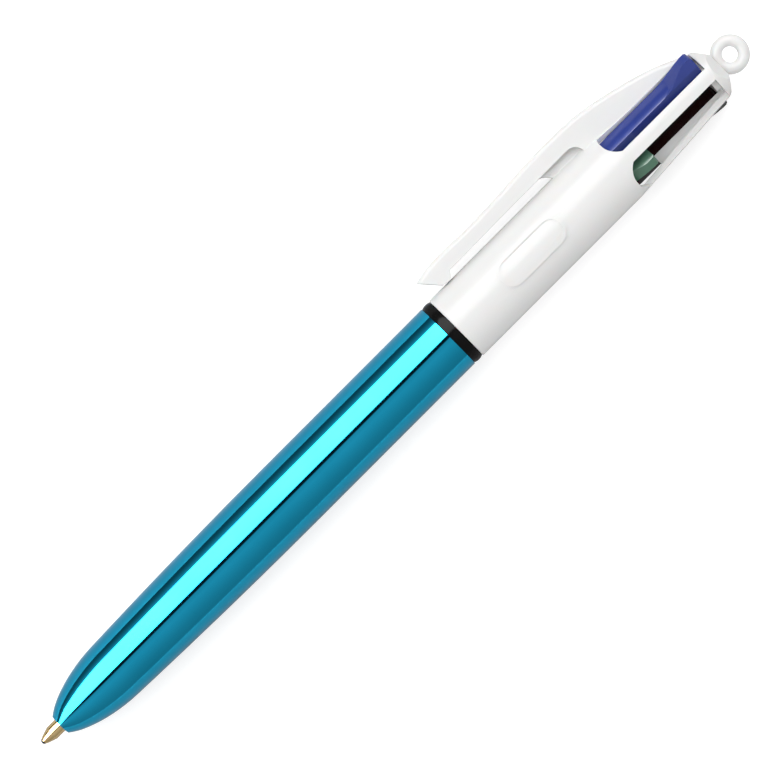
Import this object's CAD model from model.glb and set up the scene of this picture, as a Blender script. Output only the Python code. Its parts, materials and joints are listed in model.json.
import json
import math

import bpy
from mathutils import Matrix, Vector


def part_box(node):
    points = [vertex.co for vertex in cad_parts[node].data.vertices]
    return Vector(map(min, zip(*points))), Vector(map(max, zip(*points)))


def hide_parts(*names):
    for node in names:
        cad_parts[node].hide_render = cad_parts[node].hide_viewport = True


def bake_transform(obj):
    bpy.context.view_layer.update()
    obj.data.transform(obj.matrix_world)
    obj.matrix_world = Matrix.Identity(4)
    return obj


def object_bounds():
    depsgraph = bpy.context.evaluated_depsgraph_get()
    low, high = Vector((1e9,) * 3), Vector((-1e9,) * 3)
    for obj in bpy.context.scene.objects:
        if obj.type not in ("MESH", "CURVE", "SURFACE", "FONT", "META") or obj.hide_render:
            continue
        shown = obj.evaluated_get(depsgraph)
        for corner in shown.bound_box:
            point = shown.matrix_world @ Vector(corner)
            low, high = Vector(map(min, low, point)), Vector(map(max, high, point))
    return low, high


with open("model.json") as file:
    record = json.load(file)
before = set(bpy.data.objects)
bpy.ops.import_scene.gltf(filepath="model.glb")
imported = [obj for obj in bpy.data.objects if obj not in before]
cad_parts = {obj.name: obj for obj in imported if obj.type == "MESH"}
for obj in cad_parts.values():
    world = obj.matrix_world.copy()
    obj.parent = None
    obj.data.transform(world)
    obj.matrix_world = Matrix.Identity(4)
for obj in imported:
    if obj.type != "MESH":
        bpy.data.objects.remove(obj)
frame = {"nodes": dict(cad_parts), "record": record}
cad_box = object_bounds()

MM = 0.001
# angle of each colour's slot from +Y toward +Z, in degrees
COLOURS = {"blue": 45, "green": 135, "black": 225, "red": 315}

# --- soft pieces: the refill that is out bends and the springs give, so they have their own meshes ---
REFILL_RADIUS = 2.7 * MM
TUBE_R = 1.3 * MM
TUBE_BORE_R = 0.85 * MM
INK_R = 0.84 * MM
SPRING_R = 1.69 * MM
WIRE_R = 0.15 * MM
SPRING_COILS = 14
# the refill that is out bends from its own place onto the pen's axis between these two places
BEND_REAR = -12.0 * MM
BEND_FRONT = -60.0 * MM
OUT_COLOUR = "green"
REFILL_RINGS = 90
COIL_RINGS = 20
SIDES = 24
WIRE_SIDES = 8

# how much lighter the light patches of an ink are than its dark ones
INK_GLINT = 1.3
# the share of a noise value's range that a ramp spreads over its two ends
NOISE_LOW = 0.3
NOISE_HIGH = 0.7
# grain of the slow colour change over a surface, per metre
CLOUD_GRAIN = 120.0

# --- camera: straight down on the pen as it lies, with a long lens ---
LENS_MM = 240.0
SENSOR_MM = 36.0
FRAME_WIDTH = 115.9 * MM
FRAME_CENTRE = (-11.97 * MM, 2.1 * MM)
CAMERA_TURN = math.radians(-45.04)
CLIP_END = 50.0

# --- studio ---
FLOOR_GAP = 0.3 * MM
FLOOR_SIZE = 6.0
FLOOR_COLOUR = (0.42, 0.42, 0.42)
# the floor glows a little to the camera alone, so that it reads as the white of a light table
FLOOR_GLOW = 0.72
SOFT_LIGHT_SIZE = 0.5
# name, place and power of the soft lights: one over the clip side, one low on the other side
SOFT_LIGHTS = (("soft_light", (-0.1, 0.45, 0.6), 0.15), ("soft_fill", (0, -0.6, 0.12), 1.3))
# reflections see whatever is brighter than BOOST_FROM this many times brighter still
BOOST_FROM = 1.0
BOOST = 7.0
# soft studio surround: angle round the pen from straight up toward +Y in degrees, brightness
SURROUND = ((-180, 0.4), (-104, 0.42), (-99, 0.68), (-91, 0.7), (-86, 0.4), (-60, 0.48), (-20, 0.7),
            (-6.5, 0.6), (-4.2, 0.02), (4.4, 0.02), (6.2, 2.2), (30, 2.4), (56, 2.35), (61, 0.6),
            (70, 0.3), (80, 0.14), (95, 0.1), (110, 0.4), (180, 0.5))


def new_material(name):
    """A node material, with its node tree and its Principled shader."""
    material = bpy.data.materials.new(name)
    material.use_nodes = True
    tree = material.node_tree
    shader = tree.nodes["Principled BSDF"]
    return material, tree, shader


def add_node(tree, kind, **values):
    """Add a node and set its plain inputs or properties by name."""
    node = tree.nodes.new(kind)
    for key, value in values.items():
        if key in node.inputs:
            node.inputs[key].default_value = value
        else:
            setattr(node, key, value)
    return node


def noise(tree, scale, detail=3.0, stretch=(1, 1, 1)):
    """Object-space noise, so the grain keeps its real size on every piece."""
    coordinates = tree.nodes.new("ShaderNodeTexCoord")
    mapping = tree.nodes.new("ShaderNodeMapping")
    mapping.inputs["Scale"].default_value = stretch
    tree.links.new(coordinates.outputs["Object"], mapping.inputs["Vector"])
    texture = tree.nodes.new("ShaderNodeTexNoise")
    texture.inputs["Scale"].default_value = scale
    texture.inputs["Detail"].default_value = detail
    tree.links.new(mapping.outputs["Vector"], texture.inputs["Vector"])
    return texture.outputs["Fac"]


def spread(tree, source, low, high):
    """Map a 0 to 1 value onto a range."""
    node = tree.nodes.new("ShaderNodeMapRange")
    node.inputs["From Min"].default_value = NOISE_LOW
    node.inputs["From Max"].default_value = NOISE_HIGH
    node.inputs["To Min"].default_value = low
    node.inputs["To Max"].default_value = high
    tree.links.new(source, node.inputs["Value"])
    return node.outputs["Result"]


def shade(tree, source, dark, light):
    """Mix two colours by a 0 to 1 value."""
    ramp = tree.nodes.new("ShaderNodeValToRGB")
    ramp.color_ramp.elements[0].position = NOISE_LOW
    ramp.color_ramp.elements[1].position = NOISE_HIGH
    ramp.color_ramp.elements[0].color = (*dark, 1)
    ramp.color_ramp.elements[1].color = (*light, 1)
    tree.links.new(source, ramp.inputs["Fac"])
    return ramp.outputs["Color"]


def bump(tree, shader, source, depth):
    """Raise the surface by a value, with the depth in metres."""
    node = tree.nodes.new("ShaderNodeBump")
    node.inputs["Distance"].default_value = depth
    tree.links.new(source, node.inputs["Height"])
    tree.links.new(node.outputs["Normal"], shader.inputs["Normal"])


def finish(name, dark, light, rough, metal=0.0, grain=900.0, relief=0.002 * MM, stretch=(1, 1, 1), **extra):
    """A finish with a slight colour and gloss variation and a fine surface relief."""
    material, tree, shader = new_material(name)
    cloud = noise(tree, CLOUD_GRAIN)
    fine = noise(tree, grain, stretch=stretch)
    tree.links.new(shade(tree, cloud, dark, light), shader.inputs["Base Color"])
    tree.links.new(spread(tree, fine, *rough), shader.inputs["Roughness"])
    shader.inputs["Metallic"].default_value = metal
    for key, value in extra.items():
        shader.inputs[key.replace("_", " ")].default_value = value
    bump(tree, shader, fine, relief)
    return material


def vector_step(tree, operation, first, second=None):
    """One vector sum; the second input is a socket, plain numbers or nothing."""
    node = add_node(tree, "ShaderNodeVectorMath", operation=operation)
    tree.links.new(first, node.inputs[0])
    if isinstance(second, tuple):
        node.inputs[1].default_value = second
    elif second is not None:
        tree.links.new(second, node.inputs[1])
    return node


def round_normal(tree):
    """The surface direction of a perfectly round piece about X, so that long reflections run straight."""
    surface = tree.nodes.new("ShaderNodeNewGeometry")
    normal = surface.outputs["Normal"]
    spoke = vector_step(tree, "MULTIPLY", surface.outputs["Position"], (0, 1, 1)).outputs["Vector"]
    spoke = vector_step(tree, "NORMALIZE", spoke).outputs["Vector"]
    share = vector_step(tree, "DOT_PRODUCT", normal, spoke).outputs["Value"]
    across = vector_step(tree, "SCALE", spoke)
    tree.links.new(share, across.inputs["Scale"])
    along = vector_step(tree, "MULTIPLY", normal, (1, 0, 0)).outputs["Vector"]
    whole = vector_step(tree, "ADD", along, across.outputs["Vector"]).outputs["Vector"]
    return vector_step(tree, "NORMALIZE", whole).outputs["Vector"]


def teal_mirror():
    """Metallised plastic under a thin tinted clear coat."""
    material = finish("teal_mirror", (0.012, 0.35, 0.57), (0.014, 0.37, 0.6), (0.04, 0.07), metal=1.0,
                      relief=0.00005 * MM, Coat_Weight=0.04, Coat_Roughness=0.03,
                      Coat_Tint=(0.75, 0.98, 1, 1))
    tree = material.node_tree
    tree.links.new(round_normal(tree), tree.nodes["Bump"].inputs["Normal"])
    return material


def make_materials():
    """Every finish by its material slot."""
    tones = {"blue": ((0.02, 0.036, 0.2), (0.026, 0.046, 0.25)),
             "green": ((0.065, 0.155, 0.1), (0.075, 0.18, 0.12)),
             "red": ((0.42, 0.012, 0.012), (0.5, 0.02, 0.018)),
             "black": ((0.008, 0.008, 0.008), (0.016, 0.016, 0.016))}
    inks = {"blue": (0.004, 0.006, 0.1), "green": (0.0, 0.05, 0.02), "red": (0.22, 0.0, 0.004),
            "black": (0.002, 0.002, 0.002)}
    materials = {
        "teal_mirror": teal_mirror(),
        "black_trim": finish("black_trim", (0.004, 0.004, 0.004), (0.007, 0.007, 0.007), (0.12, 0.18),
                             relief=0.0003 * MM, Specular_IOR_Level=0.05),
        "black_inner": finish("black_inner", (0.02, 0.02, 0.02), (0.03, 0.03, 0.03), (0.45, 0.6)),
        "white_gloss": finish("white_gloss", (0.69, 0.69, 0.685), (0.7, 0.7, 0.695), (0.2, 0.26),
                              relief=0.0002 * MM, Specular_IOR_Level=0.15, Subsurface_Weight=0.12,
                              Subsurface_Scale=0.4 * MM),
        "spring_steel": finish("spring_steel", (0.5, 0.5, 0.5), (0.62, 0.62, 0.61), (0.2, 0.32), metal=1.0,
                               stretch=(4, 1, 1)),
        "clear_tube": finish("clear_tube", (0.86, 0.9, 0.92), (0.9, 0.93, 0.94), (0.12, 0.2),
                             Transmission_Weight=0.85, IOR=1.49),
        "brass_point": finish("brass_point", (0.62, 0.44, 0.2), (0.76, 0.58, 0.3), (0.06, 0.14), metal=1.0,
                              grain=2500.0, stretch=(6, 1, 1)),
        "ball_metal": finish("ball_metal", (0.03, 0.03, 0.035), (0.05, 0.05, 0.055), (0.15, 0.22), metal=0.8),
    }
    for colour in COLOURS:
        dark, light = tones[colour]
        plastic = colour + "_plastic"
        materials[plastic] = finish(plastic, dark, light, (0.16, 0.24), relief=0.0004 * MM)
        ink = inks[colour]
        lit_ink = tuple(INK_GLINT * part for part in ink)
        materials[colour + "_ink"] = finish(colour + "_ink", ink, lit_ink, (0.1, 0.2))
    return materials


def bend_share(x):
    """How far the bent middle line stands from the pen's axis at x: 1 at its own place, 0 on the axis."""
    part = min(max((x - BEND_FRONT) / (BEND_REAR - BEND_FRONT), 0.0), 1.0)
    return part * part * (3 - 2 * part)


def outward(colour):
    """The direction from the pen's axis to a colour's slot."""
    angle = math.radians(COLOURS[colour])
    return Vector((0, math.cos(angle), math.sin(angle)))


def refill_line(node):
    """Places along the middle line of the refill that is out, from its CAD node's front to its rear end."""
    low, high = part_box(node)
    steps = [low[0] + (high[0] - low[0]) * i / REFILL_RINGS for i in range(REFILL_RINGS + 1)]
    side = outward(OUT_COLOUR) * REFILL_RADIUS
    return [Vector((x, 0, 0)) + side * bend_share(x) for x in steps]


def coil_line(node, colour):
    """Places along a spring's wire, between the ends of its CAD node."""
    low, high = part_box(node)
    length = high[0] - low[0] - 2 * WIRE_R
    up = outward(colour)
    across = Vector((1, 0, 0)).cross(up)
    places = []
    for i in range(SPRING_COILS * COIL_RINGS + 1):
        share = i / (SPRING_COILS * COIL_RINGS)
        turn = 2 * math.pi * SPRING_COILS * share
        spoke = (up * math.cos(turn) + across * math.sin(turn)) * SPRING_R
        places.append(Vector((low[0] + WIRE_R + length * share, 0, 0)) + up * REFILL_RADIUS + spoke)
    return places


def ring_corners(line, index, radius, sides):
    """A circle of corners round one place of a line, square to the line."""
    before = line[max(index - 1, 0)]
    after = line[min(index + 1, len(line) - 1)]
    along = (after - before).normalized()
    first = along.cross(Vector((0, 0, 1))).normalized()
    second = along.cross(first)
    turns = [2 * math.pi * i / sides for i in range(sides)]
    return [line[index] + (first * math.cos(t) + second * math.sin(t)) * radius for t in turns]


def skin(rings, sides, closed):
    """Faces between neighbouring rings of corners. The ends get caps, or the last ring joins the first."""
    faces = []
    pairs = [(i, i + 1) for i in range(rings - 1)]
    if closed:
        pairs.append((rings - 1, 0))
    for a, b in pairs:
        for i in range(sides):
            j = (i + 1) % sides
            faces.append((a * sides + i, a * sides + j, b * sides + j, b * sides + i))
    if not closed:
        faces.append(tuple(reversed(range(sides))))
        faces.append(tuple(range((rings - 1) * sides, rings * sides)))
    return faces


def swept_piece(name, rings, sides, closed=False):
    """A mesh object whose skin runs over rings of corners."""
    mesh = bpy.data.meshes.new(name)
    mesh.from_pydata([corner for ring in rings for corner in ring], [], skin(len(rings), sides, closed))
    mesh.validate()
    mesh.shade_smooth()
    piece = bpy.data.objects.new(name, mesh)
    bpy.context.collection.objects.link(piece)
    return piece


def make_refill(materials, slots):
    """The tube and ink of the refill that is out, which bend between the refill and its writing tip."""
    for kind, radii in (("refill_tube", (TUBE_R, TUBE_BORE_R)), ("ink_column", (INK_R,))):
        node = OUT_COLOUR + "_" + kind
        line = refill_line(node)
        rings = [ring_corners(line, i, radii[0], SIDES) for i in range(len(line))]
        if len(radii) == 2:
            rings += [ring_corners(line, i, radii[1], SIDES) for i in reversed(range(len(line)))]
        piece = swept_piece(node + "_soft", rings, SIDES, closed=len(radii) == 2)
        fit_out(piece, node, materials, slots)
        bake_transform(piece)


def make_spring(colour, materials, slots):
    """One return spring, held at the end plate in front and moved by its slider behind."""
    node = colour + "_spring"
    line = coil_line(node, colour)
    rings = [wire_corners(line, i, colour) for i in range(len(line))]
    piece = swept_piece(node + "_soft", rings, WIRE_SIDES)
    fit_out(piece, node, materials, slots)
    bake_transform(piece)


def wire_corners(line, index, colour):
    """A circle of corners round the wire, in the plane through the spring's own axis."""
    centre = Vector((line[index].x, 0, 0)) + outward(colour) * REFILL_RADIUS
    spoke = (line[index] - centre).normalized()
    turns = [2 * math.pi * i / WIRE_SIDES for i in range(WIRE_SIDES)]
    return [line[index] + (spoke * math.cos(t) + Vector((math.sin(t), 0, 0))) * WIRE_R for t in turns]


def fit_out(piece, node, materials, slots):
    """An own piece takes over from its CAD node, with the same finish."""
    piece.data.materials.append(materials[slots[node]])
    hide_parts(node)


def dress(materials, slots):
    """Give every carried-over CAD node its finish."""
    for node, thing in frame["nodes"].items():
        thing.data.materials.clear()
        thing.data.materials.append(materials[slots[node]])


def floor_material():
    """A matt pale floor that looks white to the camera without lighting the pen from below."""
    material = finish("floor_white", FLOOR_COLOUR, FLOOR_COLOUR, (0.7, 0.8))
    tree = material.node_tree
    shader = tree.nodes["Principled BSDF"]
    ray = tree.nodes.new("ShaderNodeLightPath")
    glow = add_node(tree, "ShaderNodeMath", operation="MULTIPLY")
    glow.inputs[1].default_value = FLOOR_GLOW
    tree.links.new(ray.outputs["Is Camera Ray"], glow.inputs[0])
    tree.links.new(glow.outputs["Value"], shader.inputs["Emission Strength"])
    shader.inputs["Emission Color"].default_value = (1, 1, 1, 1)
    return material


def make_floor():
    """A plain pale floor under the pen."""
    low, _ = cad_box
    bpy.ops.mesh.primitive_plane_add(size=FLOOR_SIZE, location=(0, 0, low[2] - FLOOR_GAP))
    floor = bpy.context.object
    floor.name = "floor"
    floor.data.materials.append(floor_material())


def glossy_boost(tree, level):
    """The bright band is stronger in reflections than in soft light, so that mirrors sparkle."""
    value = level
    for operation, amount in (("SUBTRACT", BOOST_FROM), ("MAXIMUM", 0.0), ("MULTIPLY", BOOST)):
        step = add_node(tree, "ShaderNodeMath", operation=operation)
        step.inputs[1].default_value = amount
        tree.links.new(value, step.inputs[0])
        value = step.outputs["Value"]
    ray = tree.nodes.new("ShaderNodeLightPath")
    only = add_node(tree, "ShaderNodeMath", operation="MULTIPLY")
    tree.links.new(value, only.inputs[0])
    tree.links.new(ray.outputs["Is Glossy Ray"], only.inputs[1])
    total = add_node(tree, "ShaderNodeMath", operation="ADD")
    tree.links.new(level, total.inputs[0])
    tree.links.new(only.outputs["Value"], total.inputs[1])
    return total.outputs["Value"]


def make_surround():
    """A soft studio surround: brightness by the angle round the pen's long axis."""
    world = bpy.data.worlds.new("studio")
    bpy.context.scene.world = world
    world.use_nodes = True
    tree = world.node_tree
    background = tree.nodes["Background"]
    background.inputs["Color"].default_value = (1, 1, 1, 1)
    coordinates = tree.nodes.new("ShaderNodeTexCoord")
    split = tree.nodes.new("ShaderNodeSeparateXYZ")
    angle = add_node(tree, "ShaderNodeMath", operation="ARCTAN2")
    turns = add_node(tree, "ShaderNodeMapRange")
    turns.inputs["From Min"].default_value = -math.pi
    turns.inputs["From Max"].default_value = math.pi
    ramp = tree.nodes.new("ShaderNodeValToRGB")
    brightest = max(level for _, level in SURROUND)
    elements = ramp.color_ramp.elements
    while len(elements) < len(SURROUND):
        elements.new(0.5)
    for element, (degrees, level) in zip(elements, SURROUND):
        element.position = (degrees + 180) / 360
        grey = level / brightest
        element.color = (grey, grey, grey, 1)
    tree.links.new(coordinates.outputs["Generated"], split.inputs["Vector"])
    tree.links.new(split.outputs["Y"], angle.inputs[0])
    tree.links.new(split.outputs["Z"], angle.inputs[1])
    tree.links.new(angle.outputs["Value"], turns.inputs["Value"])
    tree.links.new(turns.outputs["Result"], ramp.inputs["Fac"])
    scaled = add_node(tree, "ShaderNodeMath", operation="MULTIPLY")
    scaled.inputs[1].default_value = brightest
    tree.links.new(ramp.outputs["Color"], scaled.inputs[0])
    tree.links.new(glossy_boost(tree, scaled.outputs["Value"]), background.inputs["Strength"])


def make_lights():
    """Large soft lights that no mirror sees."""
    for name, place, power in SOFT_LIGHTS:
        data = bpy.data.lights.new(name, "AREA")
        data.size = SOFT_LIGHT_SIZE
        data.energy = power
        light = bpy.data.objects.new(name, data)
        light.location = place
        light.rotation_euler = direction_to_euler([-part for part in place])
        bpy.context.collection.objects.link(light)
        light.visible_glossy = False


def direction_to_euler(aim):
    """The rotation that turns a light's or camera's view along a direction."""
    return Vector(aim).to_track_quat("-Z", "Y").to_euler()


def make_camera():
    """A long-lens camera straight above, turned so that the pen runs corner to corner."""
    data = bpy.data.cameras.new("camera")
    data.type = "PERSP"
    data.lens = LENS_MM
    data.sensor_width = SENSOR_MM
    data.clip_end = CLIP_END
    camera = bpy.data.objects.new("camera", data)
    distance = FRAME_WIDTH / SENSOR_MM * LENS_MM
    camera.location = (*FRAME_CENTRE, distance)
    camera.rotation_euler = (0, 0, CAMERA_TURN)
    bpy.context.collection.objects.link(camera)
    bpy.context.scene.camera = camera


def main():
    bpy.context.scene.view_settings.view_transform = "Standard"
    slots = {entry["node"]: entry["material_slot"] for entry in frame["record"]["subparts"]}
    materials = make_materials()
    dress(materials, slots)
    make_refill(materials, slots)
    for colour in COLOURS:
        make_spring(colour, materials, slots)
    make_floor()
    make_surround()
    make_lights()
    make_camera()


main()
